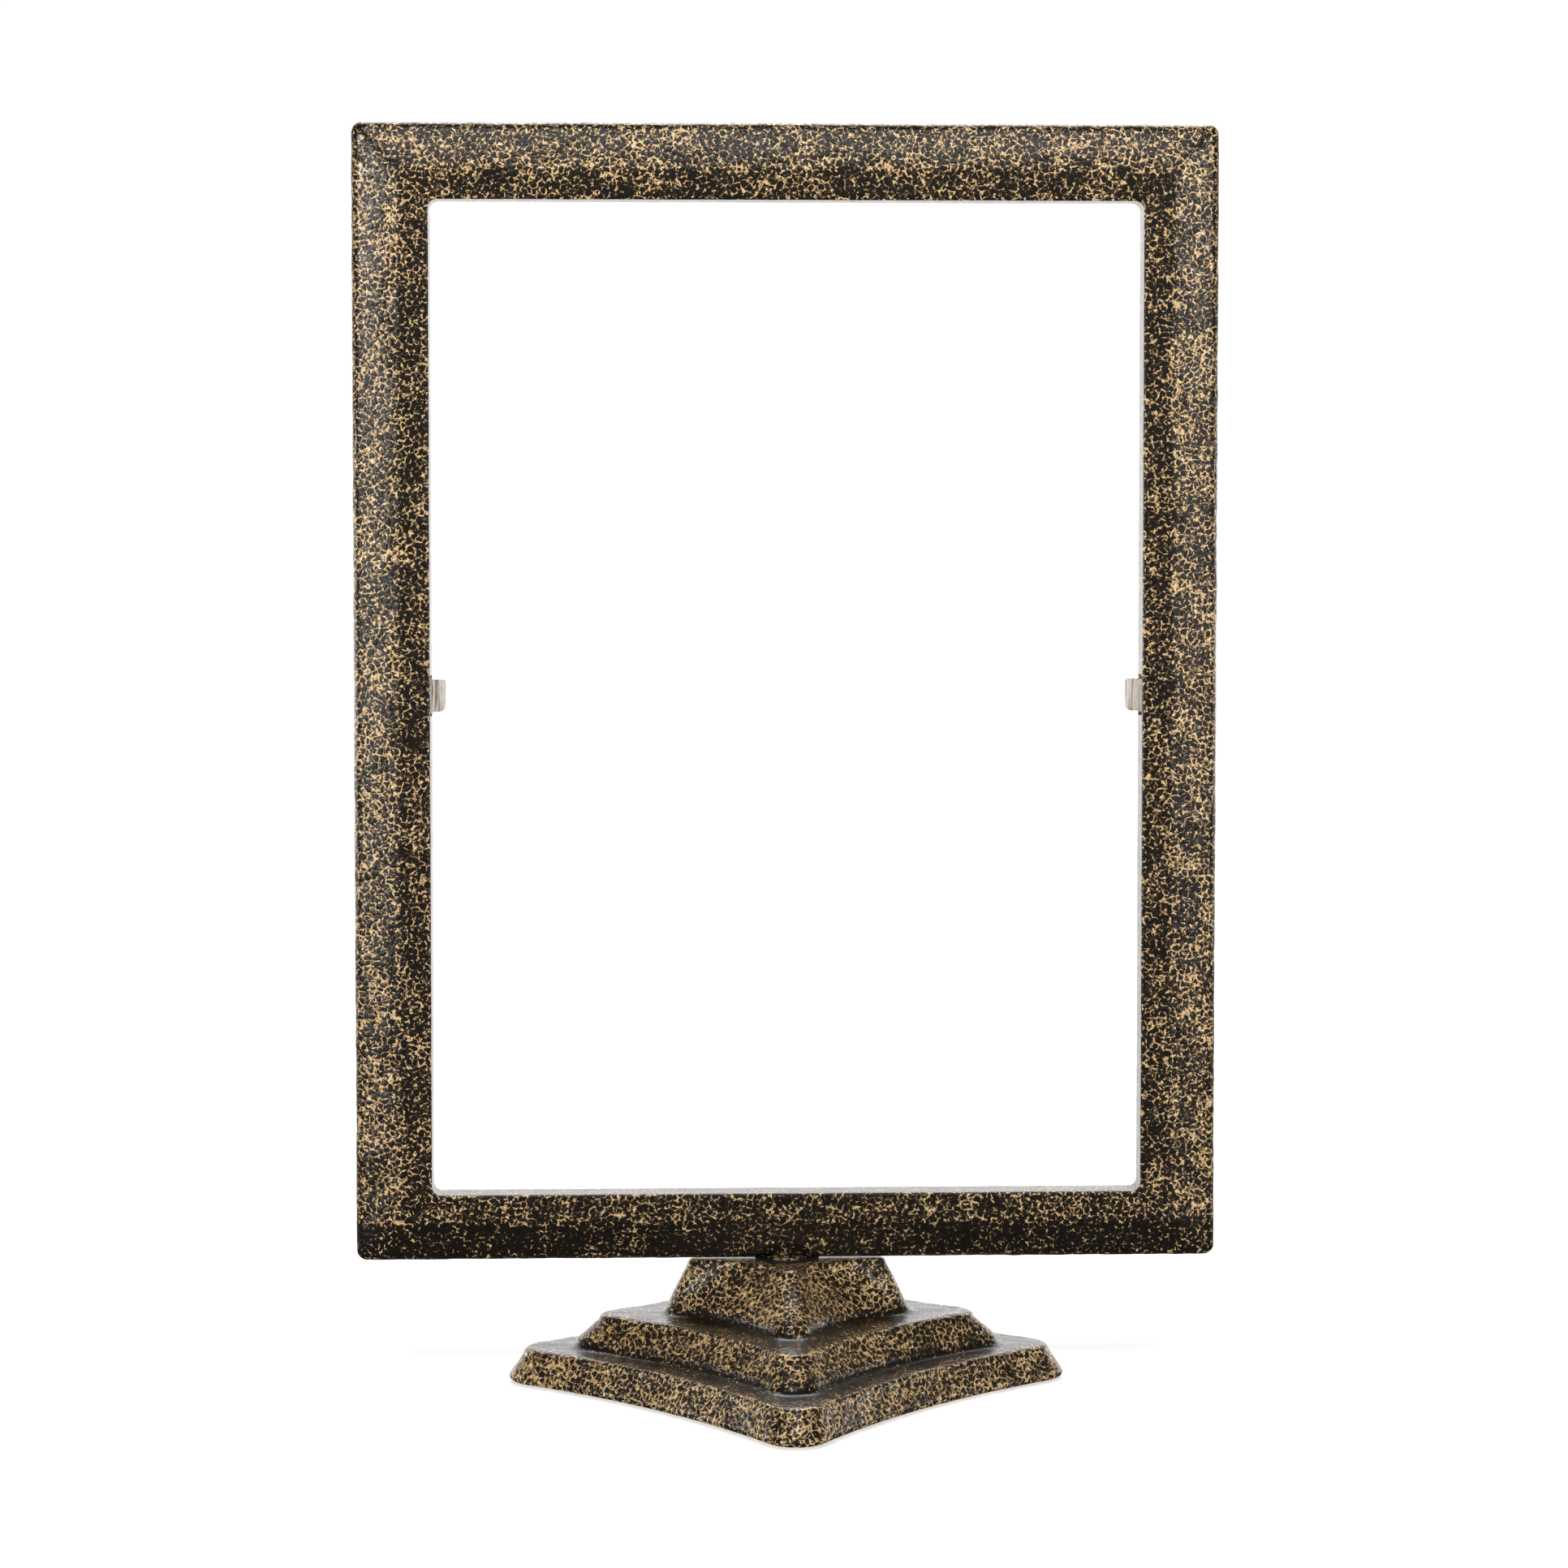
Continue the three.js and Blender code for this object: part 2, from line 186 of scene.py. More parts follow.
def rounded(corners, steps=4):
    """The closed outline through (x, y, radius) corners, each turned with its own radius."""
    outline = []
    count = len(corners)
    for i, (x, y, radius) in enumerate(corners):
        here = np.array([x, y])
        before = np.array(corners[i - 1][:2]) - here
        after = np.array(corners[(i + 1) % count][:2]) - here
        reach = [np.linalg.norm(before), np.linalg.norm(after)]
        if radius <= 0:
            outline.append(here)
            continue
        half = 0.5 * math.acos(np.clip(before @ after / (reach[0] * reach[1]), -1, 1))
        run = min(radius / math.tan(half), 0.49 * min(reach))
        start = here + before / reach[0] * run
        end = here + after / reach[1] * run
        for s in np.linspace(0, 1, steps + 1):
            outline.append((1 - s) ** 2 * start + 2 * s * (1 - s) * here + s * s * end)
    return np.array(outline)


def turned(name, outline, sides=64, centre=(0.0, 0.0), bend=None):
    """A round body about +Z from an outline of (radius, z).

    bend(angles, radius, z) gives the radius scale and the lift all round.
    """
    angles = np.linspace(0, 2 * math.pi, sides, endpoint=False)
    rings = []
    for radius, z in outline:
        scale, lift = bend(angles, radius, z) if bend else (1.0, 0.0)
        reach = radius * scale * np.ones(sides)
        rings.append(np.stack([
            centre[0] + reach * np.cos(angles),
            centre[1] + reach * np.sin(angles),
            z + lift * np.ones(sides),
        ], -1))
    return mesh_object(name, np.concatenate(rings), grid_faces(len(outline), sides, True))


def solid_rod(name, outline, sides=64, centre=(0.0, 0.0), bend=None):
    """As turned, for an open outline that starts and ends on the axis side: both ends are closed flat."""
    angles = np.linspace(0, 2 * math.pi, sides, endpoint=False)
    rings = []
    for radius, z in outline:
        scale = bend(angles, radius, z) if bend else 1.0
        reach = radius * scale * np.ones(sides)
        rings.append(np.stack([
            centre[0] + reach * np.cos(angles),
            centre[1] + reach * np.sin(angles),
            np.full(sides, float(z)),
        ], -1))
    faces = [list(face) for face in grid_faces(len(outline), sides, False)]
    last = (len(outline) - 1) * sides
    faces += [list(range(sides)), list(range(last, last + sides))]
    return mesh_object(name, np.concatenate(rings), faces)


def block(name, low, high):
    """A plain box, only used to cut."""
    points = [(x, y, z) for x in (low[0], high[0]) for y in (low[1], high[1]) for z in (low[2], high[2])]
    faces = [(0, 1, 3, 2), (4, 6, 7, 5), (0, 4, 5, 1), (2, 3, 7, 6), (0, 2, 6, 4), (1, 5, 7, 3)]
    return mesh_object(name, points, faces, 0)


def turn_points(obj, turn):
    """Moves a mesh's own points by turn(x, y, z) in millimetres, and turns its faces outward again."""
    count = len(obj.data.vertices)
    points = np.empty(count * 3)
    obj.data.vertices.foreach_get("co", points)
    x, y, z = (points.reshape(-1, 3) / MM).T
    obj.data.vertices.foreach_set("co", (np.stack(turn(x, y, z), -1) * MM).ravel())
    tidy = bmesh.new()
    tidy.from_mesh(obj.data)
    bmesh.ops.recalc_face_normals(tidy, faces=tidy.faces)
    tidy.to_mesh(obj.data)
    tidy.free()
    return obj


def box_mm(node):
    """A CAD node's box in millimetres."""
    low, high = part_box(node)
    return np.array(low) / MM, np.array(high) / MM


def smoothstep(low, high, values):
    share = np.clip((values - low) / (high - low), 0, 1)
    return share * share * (3 - 2 * share)


# Node helpers, and the coat's cell pattern, which shapes the meshes and colours them.


def add_node(tree, kind, inputs=None, **settings):
    """Adds a node. Each input takes a number, a colour or another node's socket."""
    node = tree.nodes.new(kind)
    for key, value in settings.items():
        setattr(node, key, value)
    for key, value in (inputs or {}).items():
        if isinstance(value, bpy.types.NodeSocket):
            tree.links.new(value, node.inputs[key])
        else:
            node.inputs[key].default_value = value
    return node


def maths(tree, operation, *values, clamp=False):
    node = add_node(tree, "ShaderNodeMath", dict(enumerate(values)), operation=operation, use_clamp=clamp)
    return node.outputs[0]


def vector_maths(tree, operation, *values):
    return add_node(tree, "ShaderNodeVectorMath", dict(enumerate(values)), operation=operation).outputs[0]


def scaled(tree, vector, scale):
    return add_node(tree, "ShaderNodeVectorMath", {0: vector, "Scale": scale}, operation="SCALE").outputs[0]


def ramp(tree, value, low, high, start=0.0, end=1.0):
    """A smooth change from start to end as value goes from low to high."""
    node = add_node(
        tree, "ShaderNodeMapRange",
        {"Value": value, "From Min": low, "From Max": high, "To Min": start, "To Max": end},
        interpolation_type="SMOOTHSTEP",
    )
    return node.outputs["Result"]


def noise(tree, place, per_mm, detail=2.0, roughness=0.5, output="Factor"):
    node = add_node(
        tree, "ShaderNodeTexNoise",
        {"Vector": place, "Scale": per_mm, "Detail": detail, "Roughness": roughness},
    )
    return node.outputs["Color" if output == "Color" else 0]


def blend_colours(tree, share, first, second):
    node = add_node(tree, "ShaderNodeMix", data_type="RGBA")
    for socket, value in ((node.inputs[0], share), (node.inputs[6], first), (node.inputs[7], second)):
        if isinstance(value, bpy.types.NodeSocket):
            tree.links.new(value, socket)
        else:
            socket.default_value = value
    return node.outputs[2]


def warped(tree, place, per_mm, reach):
    """place pushed about by noise, so that cells aren't straight-sided."""
    push = vector_maths(tree, "SUBTRACT", noise(tree, place, per_mm, output="Color"), (0.5, 0.5, 0.5))
    return vector_maths(tree, "ADD", place, scaled(tree, push, reach))


def wall_distance(tree, place, size):
    """0 on the walls between cells of that size, rising towards their middles."""
    cells = add_node(
        tree, "ShaderNodeTexVoronoi", {"Vector": place, "Scale": 1 / size, "Randomness": 1.0},
        feature="DISTANCE_TO_EDGE",
    )
    return cells.outputs["Distance"]


def coat_cells(tree, place):
    """The main cells' wall distance at a place in millimetres."""
    return wall_distance(tree, warped(tree, warped(tree, place, 1.1, 0.85), 3.2, 0.3), CELL_SIZE)


def hammer(obj, ease):
    """Moves the mesh along its normals by the coat's relief, times ease (one number for each point)."""
    attribute = obj.data.attributes.new("ease", "FLOAT", "POINT")
    attribute.data.foreach_set("value", np.asarray(ease, np.float32))
    tree = bpy.data.node_groups.new("relief", "GeometryNodeTree")
    tree.interface.new_socket("Geometry", in_out="INPUT", socket_type="NodeSocketGeometry")
    tree.interface.new_socket("Geometry", in_out="OUTPUT", socket_type="NodeSocketGeometry")
    start = tree.nodes.new("NodeGroupInput")
    end = tree.nodes.new("NodeGroupOutput")
    position = add_node(tree, "GeometryNodeInputPosition").outputs[0]
    place = scaled(tree, position, 1 / MM)
    height = 0.0
    for size, tall in LUMPS:
        lump = maths(tree, "SUBTRACT", noise(tree, place, 1 / size, 1.0), 0.5)
        height = maths(tree, "MULTIPLY_ADD", lump, 2 * tall * MM, height)
    named = add_node(tree, "GeometryNodeInputNamedAttribute", {"Name": "ease"}, data_type="FLOAT")
    eased = maths(tree, "MULTIPLY", height, named.outputs["Attribute"])
    normal = add_node(tree, "GeometryNodeInputNormal").outputs[0]
    offset = scaled(tree, normal, eased)
    move = add_node(tree, "GeometryNodeSetPosition", {"Geometry": start.outputs[0], "Offset": offset})
    tree.links.new(move.outputs[0], end.inputs[0])
    step = obj.modifiers.new("relief", "NODES")
    step.node_group = tree
    apply_modifiers(obj)
    obj.data.attributes.remove(obj.data.attributes["ease"])
    return obj


def points_of(obj):
    """The mesh's points in millimetres."""
    points = np.empty(len(obj.data.vertices) * 3)
    obj.data.vertices.foreach_get("co", points)
    return points.reshape(-1, 3) / MM


# Materials.


def material(name, build):
    """A material filled in by build(tree, shader, place); place is the object's space in millimetres."""
    made = bpy.data.materials.new(name)
    made.use_nodes = True
    tree = made.node_tree
    shader = tree.nodes["Principled BSDF"]
    space = add_node(tree, "ShaderNodeTexCoord").outputs["Object"]
    build(tree, shader, scaled(tree, space, 1 / MM))
    return made


def add_bump(tree, shader, height, depth, socket="Normal", strength=1.0):
    """Small relief from a height between 0 and 1, depth millimetres deep."""
    node = add_node(tree, "ShaderNodeBump", {"Height": height, "Distance": depth * MM, "Strength": strength})
    tree.links.new(node.outputs[0], shader.inputs[socket])


def hammered_coat(tree, shader, place):
    """Near-black glossy cells in a broken network of gold veins."""
    distance = coat_cells(tree, place)
    ragged = maths(tree, "MULTIPLY_ADD", noise(tree, place, 4.0, 2.0, 0.6), 0.2, -0.1)
    walls = maths(tree, "ADD", distance, ragged)
    region = ramp(tree, noise(tree, place, 0.22, 2.0, 0.5), 0.35, 0.65, -0.045, 0.015)
    knots = ramp(tree, noise(tree, place, 1.5, 2.0, 0.6), 0.38, 0.68, 0.0, 0.15)
    # The per-face vein widths; where they narrow the veins on the bottom crown and at the tiers' feet, they
    # are painted shade.
    gilding_and_shade = add_node(tree, "ShaderNodeAttribute", attribute_name="gilding_and_shade").outputs["Fac"]
    width = maths(tree, "ADD", maths(tree, "ADD", knots, region), gilding_and_shade)
    veins = ramp(tree, maths(tree, "SUBTRACT", walls, width), -0.04, 0.04, 1.0, 0.0)
    fine = wall_distance(tree, warped(tree, place, 2.0, 0.4), CELL_SIZE * 0.55)
    where = ramp(tree, noise(tree, place, 1.0, 2.0, 0.5), 0.50, 0.64, -0.07, 0.04)
    thread_width = maths(tree, "ADD", gilding_and_shade, where)
    threads = ramp(tree, maths(tree, "SUBTRACT", fine, thread_width), -0.04, 0.04, 0.7, 0.0)
    gold = maths(tree, "MAXIMUM", veins, threads)
    tone = noise(tree, place, 2.2, 3.0, 0.65)
    bright = blend_colours(tree, ramp(tree, tone, 0.32, 0.64), (0.42, 0.23, 0.08, 1), (1.0, 0.72, 0.37, 1))
    dark_tone = noise(tree, place, 0.9, 2.0)
    dark = blend_colours(tree, dark_tone, (0.003, 0.002, 0.001, 1), (0.009, 0.005, 0.0025, 1))
    tree.links.new(blend_colours(tree, gold, dark, bright), shader.inputs["Base Color"])
    tree.links.new(maths(tree, "MULTIPLY", gold, 0.25), shader.inputs["Metallic"])
    grain = noise(tree, place, 9.0, 2.0)
    rough = maths(tree, "MULTIPLY_ADD", grain, 0.12, 0.38)
    tree.links.new(rough, shader.inputs["Roughness"])
    dome = ramp(tree, distance, 0.0, 0.45)
    relief = maths(tree, "MULTIPLY_ADD", grain, 0.06, dome)
    add_bump(tree, shader, relief, 0.03)
    skin = maths(tree, "MULTIPLY_ADD", noise(tree, place, 1.8, 1.0), 0.8, dome)
    add_bump(tree, shader, skin, 0.03, "Coat Normal")
    shader.inputs["Coat Weight"].default_value = 1.0
    shader.inputs["Coat Roughness"].default_value = 0.14
    shader.inputs["Coat IOR"].default_value = 1.5
    shader.inputs["IOR"].default_value = 1.45


def stretched(tree, place, scale):
    return vector_maths(tree, "MULTIPLY", place, scale)


def clip_nickel(tree, shader, place):
    """Warm nickel plate brushed along the strip, with darker streaks, stains and a few scratches."""
    brushed = noise(tree, stretched(tree, place, (9.0, 9.0, 0.5)), 1.0, 3.0, 0.65)
    coarse = noise(tree, stretched(tree, place, (2.4, 2.4, 0.12)), 1.0, 2.0)
    stains = noise(tree, place, 0.8, 3.0)
    tint = blend_colours(tree, ramp(tree, coarse, 0.36, 0.50), (0.34, 0.28, 0.22, 1), (0.93, 0.87, 0.78, 1))
    tint = blend_colours(tree, ramp(tree, stains, 0.5, 0.75, 0.0, 0.5), tint, (0.68, 0.62, 0.54, 1))
    tree.links.new(tint, shader.inputs["Base Color"])
    shader.inputs["Metallic"].default_value = 0.4
    tree.links.new(maths(tree, "MULTIPLY_ADD", brushed, 0.22, 0.34), shader.inputs["Roughness"])
    scratches = ramp(tree, noise(tree, stretched(tree, place, (2.0, 2.0, 14.0)), 1.0, 2.0), 0.62, 0.72)
    add_bump(tree, shader, maths(tree, "MULTIPLY_ADD", scratches, -0.35, brushed), 0.012)


def zinc_steel(tree, shader, place):
    """Bright zinc plate: a faint spangle, turning marks and small dull spots."""
    spangle = add_node(tree, "ShaderNodeTexVoronoi", {"Vector": place, "Scale": 1.6}).outputs["Color"]
    grey = add_node(tree, "ShaderNodeSeparateColor", {0: spangle}).outputs[0]
    tint = blend_colours(tree, grey, (0.50, 0.52, 0.55, 1), (0.64, 0.65, 0.66, 1))
    spots = ramp(tree, noise(tree, place, 1.3, 3.0), 0.55, 0.72, 0.0, 0.5)
    tree.links.new(blend_colours(tree, spots, tint, (0.34, 0.33, 0.31, 1)), shader.inputs["Base Color"])
    shader.inputs["Metallic"].default_value = 1.0
    rings = add_node(
        tree, "ShaderNodeTexWave", {"Vector": place, "Scale": 2.6, "Distortion": 1.5, "Detail": 2.0},
        wave_type="RINGS", rings_direction="Z",
    ).outputs["Fac"]
    tree.links.new(maths(tree, "MULTIPLY_ADD", grey, 0.14, 0.26), shader.inputs["Roughness"])
    add_bump(tree, shader, rings, 0.008)


def black_nylon(tree, shader, place):
    """Satin black moulded nylon with fine grain and rubbed patches."""
    grain = noise(tree, place, 5.0, 3.0, 0.6)
    rubbed = ramp(tree, noise(tree, place, 0.7, 2.0), 0.45, 0.7)
    tint = blend_colours(tree, rubbed, (0.012, 0.012, 0.013, 1), (0.03, 0.03, 0.031, 1))
    tree.links.new(tint, shader.inputs["Base Color"])
    tree.links.new(maths(tree, "MULTIPLY_ADD", rubbed, -0.15, 0.55), shader.inputs["Roughness"])
    add_bump(tree, shader, grain, 0.02)


def pad_rubber(tree, shader, place):
    """Matte rubber with a pebbled skin and pale dust."""
    pebbles = add_node(tree, "ShaderNodeTexVoronoi", {"Vector": place, "Scale": 2.2}).outputs["Distance"]
    dust = ramp(tree, noise(tree, place, 0.9, 4.0, 0.7), 0.5, 0.8, 0.0, 0.35)
    tint = blend_colours(tree, dust, (0.018, 0.018, 0.019, 1), (0.10, 0.095, 0.09, 1))
    tree.links.new(tint, shader.inputs["Base Color"])
    tree.links.new(maths(tree, "MULTIPLY_ADD", dust, 0.2, 0.72), shader.inputs["Roughness"])
    add_bump(tree, shader, pebbles, 0.05)


MATERIALS = {
    build.__name__: material(build.__name__, build)
    for build in (hammered_coat, clip_nickel, zinc_steel, black_nylon, pad_rubber)
}


def place_piece(obj, slot, body, *nodes):
    """Gives a finished piece its material and its body, and hides the CAD nodes it stands for."""
    obj.data.materials.clear()
    obj.data.materials.append(MATERIALS[slot])
    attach(obj, body)
    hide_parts(*nodes)


# The upright frame.


def rail_section():
    """Half of the rail's section as (land share, crown share, depth from the mid plane), wall to rim."""
    low, high = box_mm("frame_casting")
    half = (high[1] - low[1]) / 2
    crown_width = (high[0] - low[0] - OPENING["width"]) / 2 - LAND_WIDTH
    edge_start = (crown_width - OUTER_EDGE_RADIUS) / crown_width
    steps = FRAME_STEPS
    wall = np.linspace(0, half - INNER_EDGE_BREAK, steps["wall"] // 2 + 1)[1:-1]
    section = [(0.0, 0.0, depth) for depth in wall]
    for turn in np.linspace(0, math.pi / 2, steps["break"] + 1):
        section.append((INNER_EDGE_BREAK * (1 - math.cos(turn)) / LAND_WIDTH, 0.0,
                        half - INNER_EDGE_BREAK * (1 - math.sin(turn))))
    for land in np.linspace(INNER_EDGE_BREAK / LAND_WIDTH, 1, steps["land"] + 1)[1:]:
        section.append((land, 0.0, half))
    for s in np.linspace(0, 1, steps["crown"] + 1)[1:]:
        fall = CROWN_DROP * (CROWN_START_SHARE * s + (1 - CROWN_START_SHARE) * s * s)
        section.append((1.0, s * edge_start, half - fall))
    for turn in np.linspace(0, math.pi / 2, steps["edge"] + 1)[1:-1]:
        share = edge_start + (1 - edge_start) * math.sin(turn)
        section.append((1.0, share, (half - CROWN_DROP) * math.cos(turn)))
    return section


def corner_points(centre_x, centre_z, radius, start):
    turns = start + np.linspace(0, math.pi / 2, LOOP_STEPS["corner"] + 1)
    return [(centre_x + radius * math.cos(turn), centre_z + radius * math.sin(turn)) for turn in turns]


def frame_loop(land, crown, depth):
    """One loop of points round the frame, level with a point of the rail's section."""
    low, high = box_mm("frame_casting")
    side = (high[0] - low[0] - OPENING["width"]) / 2
    top = high[2] - OPENING["sill"] - OPENING["height"]
    bottom = OPENING["sill"] - FRAME_BOTTOM
    reach = {name: land * LAND_WIDTH + crown * (rail - LAND_WIDTH)
             for name, rail in (("side", side), ("top", top), ("bottom", bottom))}
    half = OPENING["width"] / 2 + reach["side"]
    floor = OPENING["sill"] - reach["bottom"]
    ceiling = OPENING["sill"] + OPENING["height"] + reach["top"]
    radius = OPENING_CORNER_RADIUS + (LAND_CORNER_RADIUS - OPENING_CORNER_RADIUS) * land
    radius += (OUTER_CORNER_RADIUS - radius) * crown
    corners = [(half, ceiling, 0.0), (-half, ceiling, 0.5), (-half, floor, 1.0), (half, floor, 1.5)]
    arcs = []
    for x, z, turn in corners:
        centre_x = x - math.copysign(radius, x)
        centre_z = z - (radius if z == ceiling else -radius)
        arcs.append(corner_points(centre_x, centre_z, radius, turn * math.pi))
    points = []
    for i, arc in enumerate(arcs):
        start, end = arc[-1], arcs[(i + 1) % 4][0]
        count = LOOP_STEPS["wide" if i % 2 == 0 else "high"]
        points += arc
        for share in np.linspace(0, 1, count + 1)[1:-1]:
            points.append((start[0] + (end[0] - start[0]) * share, start[1] + (end[1] - start[1]) * share))
    return [(x, depth, z) for x, z in points]


def frame_ease(points):
    """1 on the open faces, 0 round the clip slots and the pivot, where the casting is true."""
    x, y, z = points.T
    clip_z = box_mm("left_spring_clip")[0][2] + CLIP_HEIGHT / 2
    across = np.maximum(np.abs(z - clip_z) - CLIP_SLOT["height"] / 2, np.abs(y) - CLIP_SLOT["width"] / 2)
    near_slot = np.where(np.abs(np.abs(x) - OPENING["width"] / 2) < 1.5, smoothstep(0.1, 0.9, across), 1.0)
    underside = z < FRAME_BOTTOM + 1.2
    near_pivot = np.where(underside, smoothstep(*SEAT_EASE, np.hypot(x, y)), 1.0)
    wall = np.abs(x) < OPENING["width"] / 2 + 0.3
    sill = (z > OPENING["sill"] - 0.3) & (z < OPENING["sill"] + OPENING["height"] + 0.3)
    calmer = np.where(wall & sill, 0.35, 1.0)
    return near_slot * near_pivot * calmer


def frame_gilding_and_shade(points):
    """Sparse gold on the land, more on the crowned band, little on the band under the opening.
    The lack of gold under the opening is painted shade, and the land's sparser gold is partly painted shade.
    """
    x, _, z = points.T
    above = z - OPENING["sill"] - OPENING["height"]
    out = np.maximum.reduce([np.abs(x) - OPENING["width"] / 2, OPENING["sill"] - z, above])
    crown = smoothstep(LAND_WIDTH - 0.3, LAND_WIDTH + 0.6, out)
    shaded_below = smoothstep(LAND_WIDTH - 0.3, LAND_WIDTH + 0.6, OPENING["sill"] - z)
    widths = GILDING_AND_SHADE["land"] + (GILDING_AND_SHADE["crown"] - GILDING_AND_SHADE["land"]) * crown
    return widths + (GILDING_AND_SHADE["shaded_bottom_crown"] - GILDING_AND_SHADE["crown"]) * shaded_below


def build_frame():
    half = rail_section()
    front = [(land, crown, -depth) for land, crown, depth in reversed(half)]
    section = [(0.0, 0.0, 0.0)] + half + [(1.0, 1.0, 0.0)] + front
    rings = [frame_loop(*point) for point in section]
    points = np.concatenate(rings)
    faces = grid_faces(len(rings), len(rings[0]), True)
    skin = mesh_object("frame_casting_skin", points, faces, math.radians(60), frame_gilding_and_shade(points))
    hammer(skin, frame_ease(points_of(skin)))
    boss_low = box_mm("frame_casting")[0][2]
    boss_top = FRAME_BOTTOM + BOSS["rise"]
    boss = rounded([(0, boss_low, 0), (BOSS["radius"], boss_low, 0.4), (BOSS["radius"], boss_top, 0),
                    (0, boss_top, 0)])[1:-1]
    boolean(skin, solid_rod("boss", boss), "UNION")
    thread = [(THREAD_HOLE["radius"], boss_low - 1), (THREAD_HOLE["radius"], THREAD_HOLE["top"])]
    boolean(skin, solid_rod("thread", thread, 32), "DIFFERENCE")
    for node in ("left_spring_clip", "right_spring_clip"):
        low, high = box_mm(node)
        side = math.copysign(1, low[0])
        wall = OPENING["width"] / 2
        middle = (low[2] + high[2]) / 2
        reach = sorted((side * (wall - 1), side * (wall + CLIP_SLOT["depth"])))
        slot = block("slot", (reach[0], -CLIP_SLOT["width"] / 2, middle - CLIP_SLOT["height"] / 2),
                     (reach[1], CLIP_SLOT["width"] / 2, middle + CLIP_SLOT["height"] / 2))
        boolean(skin, slot, "DIFFERENCE")
        hole = CLIP_SCREW["radius"] + THREAD_CLEARANCE
        pilot = solid_rod("pilot", [(hole, -1), (hole, CLIP_SCREW["length"])], 32)
        start = side * (wall + CLIP_SLOT["depth"])
        turn_points(pilot, lambda x, y, z: (start + side * z, y, middle - side * x))
        boolean(skin, pilot, "DIFFERENCE")
    place_piece(skin, "hammered_coat", "frame", "frame_casting")


# The pedestal.


def star_ring(star, z):
    """A ring of the pedestal: four rounded tips joined by hollow sides that are narrowest at the waist."""
    x, y, tip, waist = (star[key] for key in ("x", "y", "tip", "waist"))
    start, end = np.array([x - tip, 0.0]), np.array([0.0, y - tip])
    narrow = np.array([waist * x, waist * y]) - tip * math.sqrt(0.5)
    pull = 2 * narrow - 0.5 * (start + end)
    t = np.linspace(0, 1, STAR_STEPS["side"] + 1)[:, None]
    spine = (1 - t) ** 2 * start + 2 * t * (1 - t) * pull + t * t * end
    tangent = 2 * (1 - t) * (pull - start) + 2 * t * (end - pull)
    outward = np.stack([tangent[:, 1], -tangent[:, 0]], -1)
    outward /= np.linalg.norm(outward, axis=1, keepdims=True)
    side = spine + outward * tip
    first, last = (math.atan2(outward[i][1], outward[i][0]) for i in (0, -1))
    share = np.arange(STAR_STEPS["tip"]) / STAR_STEPS["tip"]
    rise = first * share
    fall = math.pi / 2 - (math.pi / 2 - last) * share[:0:-1]
    tip_start = start + tip * np.stack([np.cos(rise), np.sin(rise)], -1)
    tip_end = end + tip * np.stack([np.cos(fall), np.sin(fall)], -1)
    quarter = np.concatenate([tip_start, side, tip_end])
    mirrored = quarter[:0:-1] * (-1, 1)
    half = np.concatenate([quarter, [[0, y]], mirrored])
    ring = np.concatenate([half, -half])
    return np.column_stack([ring, np.full(len(ring), z)])


def grown(star, by):
    return {**star, "x": star["x"] + by, "y": star["y"] + by, "tip": max(star["tip"] + by, 0.5)}


def between(first, second, share):
    return first + (second - first) * share


def tier_rings(index):
    """The rings up one tier, from its lower fillet or edge to the rounded upper edge."""
    tier = TIERS[index]
    low, high, foot, head = tier["low"], tier["high"], tier["foot"], tier["head"]
    turns = np.linspace(0, math.pi / 2, TIER_STEPS["edge"] + 1)
    if index == 0:
        growth = -TIER_EDGE * (1 - np.sin(turns))
        rise = TIER_EDGE * (1 - np.cos(turns))
    else:
        growth = TIER_FILLET * (1 - np.sin(turns)) - FILLET_TUCK * np.sin(turns)
        rise = TIER_FILLET * (1 - np.cos(turns))
    rings = [star_ring(grown(foot, by), low + up) for by, up in zip(growth, rise)]
    shrink = UPPER_EDGE["start"] - UPPER_EDGE["run"] * (1 - np.cos(turns))
    fall = TIER_EDGE * (1 - np.sin(turns))
    upper = [star_ring(grown(head, by), high - down) for by, down in zip(shrink, fall)]
    wall = [between(rings[-1], upper[0], share) for share in np.linspace(0, 1, TIER_STEPS["wall"] + 1)[1:-1]]
    return rings + wall + upper


def pedestal_rings():
    rings = []
    for index in range(len(TIERS)):
        tier = tier_rings(index)
        if rings:
            shares = np.linspace(0, 1, TIER_STEPS["terrace"] + 1)[1:-1]
            rings += [between(rings[-1], tier[0], share) for share in shares]
        rings += tier
    centre = np.array([0.0, 0.0, TIERS[-1]["high"]])
    shares = np.linspace(0, 0.85, TIER_STEPS["plateau"] + 1)[1:]
    return rings + [between(rings[-1], centre, share) for share in shares]


def pedestal_ease(points):
    """1 on the open faces, 0 on the underside and on the seat of the pivot."""
    x, y, z = points.T
    seat = np.where(z > TIERS[-1]["high"] - 0.3, smoothstep(*SEAT_EASE, np.hypot(x, y)), 1.0)
    return seat * smoothstep(TIERS[0]["low"], TIERS[0]["low"] + 1.2, z)


